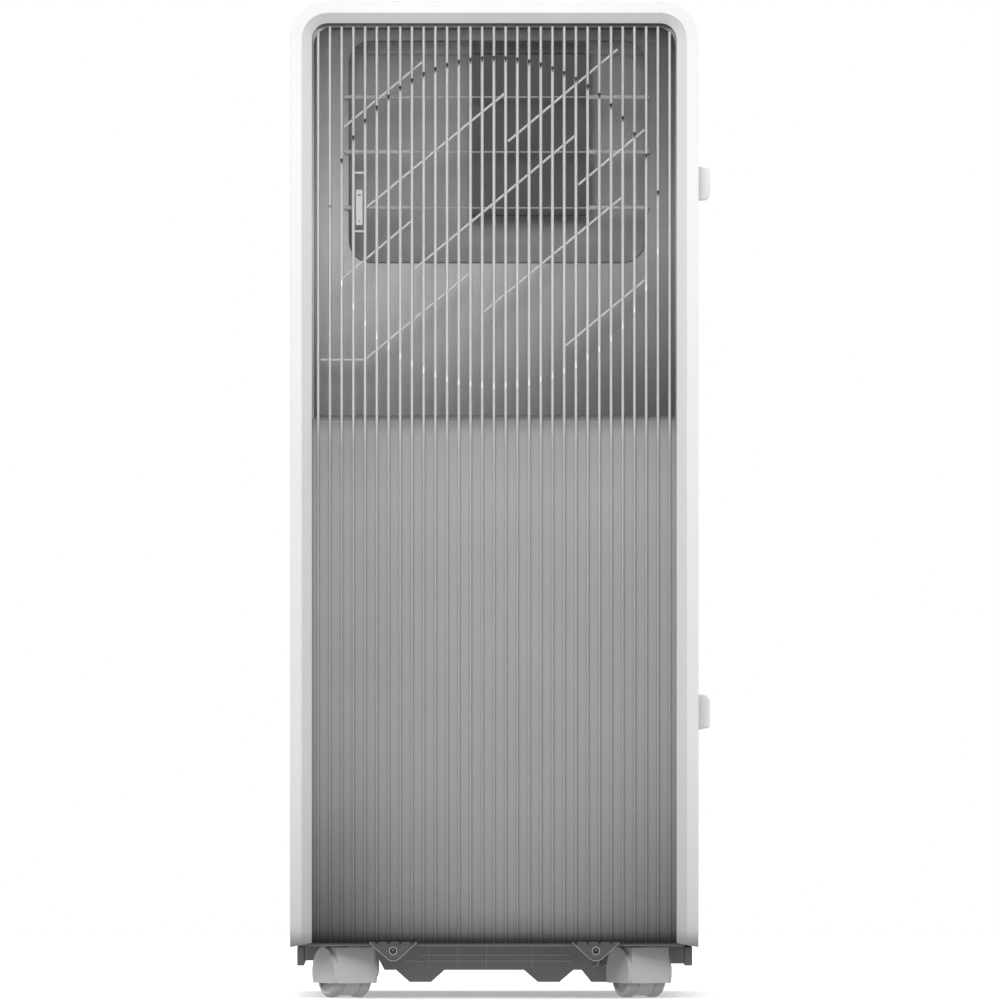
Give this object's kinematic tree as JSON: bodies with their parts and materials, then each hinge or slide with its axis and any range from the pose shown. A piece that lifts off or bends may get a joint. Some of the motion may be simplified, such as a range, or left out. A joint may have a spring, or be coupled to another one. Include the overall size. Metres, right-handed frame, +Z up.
{
  "type": "portable air conditioner",
  "caption": "Tall portable room air conditioner on twin-wheel casters, with ribbed side grilles, a front outlet louvre and a rear exhaust port.",
  "frame": {"origin": "on the floor, under the middle of the assembly's box", "axes": "+Z up, -Y towards the front outlet, +Y towards the exhaust port, +X towards the right side panel as seen from the front"},
  "size_m": [0.42, 0.336, 0.798],
  "materials": {
    "casing_white": "satin white moulded plastic",
    "side_panel_grey": "satin mid-grey moulded plastic",
    "base_dark": "dark grey moulded plastic",
    "skirt_grey": "grey moulded plastic",
    "caster_grey": "light grey moulded plastic",
    "caster_wheel": "grey moulded wheel",
    "inner_grey": "grey moulded plastic",
    "lens_black": "glossy black plastic",
    "button_white": "satin white plastic",
    "steel": "zinc plated steel",
    "coil_fins": "fine aluminium fins",
    "copper": "drawn copper tube",
    "rubber": "matt black rubber",
    "filter_mesh": "fine plastic filter mesh in a frame",
    "shell_black": "black plastic or black enamel"
  },
  "bodies": {
    "casing": {"front_cover": "casing_white", "top_cover": "casing_white", "rear_cover": "casing_white", "side_panel_right": "side_panel_grey", "side_panel_left": "side_panel_grey", "base_tray": "base_dark", "front_skirt": "skirt_grey", "rear_skirt": "skirt_grey", "screw_right_front": "steel", "screw_right_rear": "steel", "screw_left_front": "steel", "screw_left_rear": "steel", "outlet_frame": "inner_grey", "control_panel": "lens_black", "display_lens": "lens_black", "exhaust_collar": "inner_grey", "cord_hook_upper": "casing_white", "cord_hook_lower": "casing_white", "cord_gland": "rubber", "room_sensor": "caster_grey", "chamber_wall_right": "inner_grey", "chamber_wall_left": "inner_grey", "control_box": "shell_black", "compressor": "shell_black", "condenser_coil": "coil_fins", "evaporator_coil": "coil_fins", "fan_motor_upper": "steel", "fan_motor_lower": "steel", "fan_housing_upper": "inner_grey", "fan_housing_lower": "inner_grey", "condensate_pan": "inner_grey", "refrigerant_pipe": "copper"},
    "caster_front_right": {"caster_front_right_fork": "caster_grey"},
    "caster_front_right_wheel_a": {"caster_front_right_wheel_a": "caster_wheel"},
    "caster_front_right_wheel_b": {"caster_front_right_wheel_b": "caster_wheel"},
    "caster_front_left": {"caster_front_left_fork": "caster_grey"},
    "caster_front_left_wheel_a": {"caster_front_left_wheel_a": "caster_wheel"},
    "caster_front_left_wheel_b": {"caster_front_left_wheel_b": "caster_wheel"},
    "caster_rear_right": {"caster_rear_right_fork": "caster_grey"},
    "caster_rear_right_wheel_a": {"caster_rear_right_wheel_a": "caster_wheel"},
    "caster_rear_right_wheel_b": {"caster_rear_right_wheel_b": "caster_wheel"},
    "caster_rear_left": {"caster_rear_left_fork": "caster_grey"},
    "caster_rear_left_wheel_a": {"caster_rear_left_wheel_a": "caster_wheel"},
    "caster_rear_left_wheel_b": {"caster_rear_left_wheel_b": "caster_wheel"},
    "louvre": {"outlet_louvre": "casing_white"},
    "vane_1": {"vane_1": "inner_grey"},
    "vane_2": {"vane_2": "inner_grey"},
    "vane_3": {"vane_3": "inner_grey"},
    "vane_4": {"vane_4": "inner_grey"},
    "vane_link": {"vane_link": "inner_grey"},
    "button_power": {"button_power": "button_white"},
    "button_mode": {"button_mode": "button_white"},
    "button_cooler": {"button_cooler": "button_white"},
    "button_warmer": {"button_warmer": "button_white"},
    "drain_cap_upper": {"drain_cap_upper": "rubber"},
    "drain_cap_lower": {"drain_cap_lower": "rubber"},
    "filter_door": {"filter_grille": "casing_white", "air_filter": "filter_mesh"},
    "evaporator_fan": {"evaporator_fan": "shell_black"},
    "condenser_fan": {"condenser_fan": "shell_black"}
  },
  "joints": [
    {"name": "caster_front_right_swivel", "type": "hinge", "parent": "casing", "child": "caster_front_right", "pos_m": [0.16, -0.1192, 0.045], "axis": [0, 0, 1], "continuous": true},
    {"name": "caster_front_right_wheel_a_roll", "type": "hinge", "parent": "caster_front_right", "child": "caster_front_right_wheel_a", "pos_m": [0.14921, -0.12446, 0.018], "axis": [0.4384, -0.8988, 0], "continuous": true},
    {"name": "caster_front_right_wheel_b_roll", "type": "hinge", "parent": "caster_front_right", "child": "caster_front_right_wheel_b", "pos_m": [0.14921, -0.12446, 0.018], "axis": [0.4384, -0.8988, 0], "continuous": true},
    {"name": "caster_front_left_swivel", "type": "hinge", "parent": "casing", "child": "caster_front_left", "pos_m": [-0.16, -0.1192, 0.045], "axis": [0, 0, 1], "continuous": true},
    {"name": "caster_front_left_wheel_a_roll", "type": "hinge", "parent": "caster_front_left", "child": "caster_front_left_wheel_a", "pos_m": [-0.17079, -0.12446, 0.018], "axis": [0.4384, -0.8988, 0], "continuous": true},
    {"name": "caster_front_left_wheel_b_roll", "type": "hinge", "parent": "caster_front_left", "child": "caster_front_left_wheel_b", "pos_m": [-0.17079, -0.12446, 0.018], "axis": [0.4384, -0.8988, 0], "continuous": true},
    {"name": "caster_rear_right_swivel", "type": "hinge", "parent": "casing", "child": "caster_rear_right", "pos_m": [0.16, 0.1168, 0.045], "axis": [0, 0, 1], "continuous": true},
    {"name": "caster_rear_right_wheel_a_roll", "type": "hinge", "parent": "caster_rear_right", "child": "caster_rear_right_wheel_a", "pos_m": [0.14921, 0.11154, 0.018], "axis": [0.4384, -0.8988, 0], "continuous": true},
    {"name": "caster_rear_right_wheel_b_roll", "type": "hinge", "parent": "caster_rear_right", "child": "caster_rear_right_wheel_b", "pos_m": [0.14921, 0.11154, 0.018], "axis": [0.4384, -0.8988, 0], "continuous": true},
    {"name": "caster_rear_left_swivel", "type": "hinge", "parent": "casing", "child": "caster_rear_left", "pos_m": [-0.16, 0.1168, 0.045], "axis": [0, 0, 1], "continuous": true},
    {"name": "caster_rear_left_wheel_a_roll", "type": "hinge", "parent": "caster_rear_left", "child": "caster_rear_left_wheel_a", "pos_m": [-0.17079, 0.11154, 0.018], "axis": [0.4384, -0.8988, 0], "continuous": true},
    {"name": "caster_rear_left_wheel_b_roll", "type": "hinge", "parent": "caster_rear_left", "child": "caster_rear_left_wheel_b", "pos_m": [-0.17079, 0.11154, 0.018], "axis": [0.4384, -0.8988, 0], "continuous": true},
    {"name": "louvre_tilt", "type": "hinge", "parent": "casing", "child": "louvre", "pos_m": [0, -0.1667, 0.658], "axis": [1, 0, 0], "range_deg": [0, 75]},
    {"name": "vane_1_turn", "type": "hinge", "parent": "casing", "child": "vane_1", "pos_m": [-0.0975, -0.142, 0.696], "axis": [0, 0, 1], "range_deg": [-35, 35]},
    {"name": "vane_2_turn", "type": "hinge", "parent": "casing", "child": "vane_2", "pos_m": [-0.0325, -0.142, 0.696], "axis": [0, 0, 1], "range_deg": [-35, 35]},
    {"name": "vane_3_turn", "type": "hinge", "parent": "casing", "child": "vane_3", "pos_m": [0.0325, -0.142, 0.696], "axis": [0, 0, 1], "range_deg": [-35, 35]},
    {"name": "vane_4_turn", "type": "hinge", "parent": "casing", "child": "vane_4", "pos_m": [0.0975, -0.142, 0.696], "axis": [0, 0, 1], "range_deg": [-35, 35]},
    {"name": "vane_link_slide", "type": "slide", "parent": "casing", "child": "vane_link", "axis": [1, 0, 0], "range_m": [-0.0055, 0.0055]},
    {"name": "button_power_press", "type": "slide", "parent": "casing", "child": "button_power", "axis": [0, 0, -1], "range_m": [0, 0.001], "stiffness_N_per_m": 300, "springref_m": -0.0005},
    {"name": "button_mode_press", "type": "slide", "parent": "casing", "child": "button_mode", "axis": [0, 0, -1], "range_m": [0, 0.001], "stiffness_N_per_m": 300, "springref_m": -0.0005},
    {"name": "button_cooler_press", "type": "slide", "parent": "casing", "child": "button_cooler", "axis": [0, 0, -1], "range_m": [0, 0.001], "stiffness_N_per_m": 300, "springref_m": -0.0005},
    {"name": "button_warmer_press", "type": "slide", "parent": "casing", "child": "button_warmer", "axis": [0, 0, -1], "range_m": [0, 0.001], "stiffness_N_per_m": 300, "springref_m": -0.0005},
    {"name": "drain_cap_upper_pull", "type": "slide", "parent": "casing", "child": "drain_cap_upper", "axis": [0, 1, 0], "range_m": [0, 0.025]},
    {"name": "drain_cap_lower_pull", "type": "slide", "parent": "casing", "child": "drain_cap_lower", "axis": [0, 1, 0], "range_m": [0, 0.025]},
    {"name": "filter_door_pull", "type": "slide", "parent": "casing", "child": "filter_door", "axis": [0, 1, 0], "range_m": [0, 0.06]},
    {"name": "evaporator_fan_spin", "type": "hinge", "parent": "casing", "child": "evaporator_fan", "pos_m": [0, 0.04, 0.59], "axis": [0, 1, 0], "continuous": true},
    {"name": "condenser_fan_spin", "type": "hinge", "parent": "casing", "child": "condenser_fan", "pos_m": [0.065, 0.04, 0.24], "axis": [0, 1, 0], "continuous": true}
  ],
  "couplings": [
    {"joint": "vane_1_turn", "follows": "vane_link_slide", "rad_per_m": -111.11},
    {"joint": "vane_2_turn", "follows": "vane_link_slide", "rad_per_m": -111.11},
    {"joint": "vane_3_turn", "follows": "vane_link_slide", "rad_per_m": -111.11},
    {"joint": "vane_4_turn", "follows": "vane_link_slide", "rad_per_m": -111.11}
  ]
}
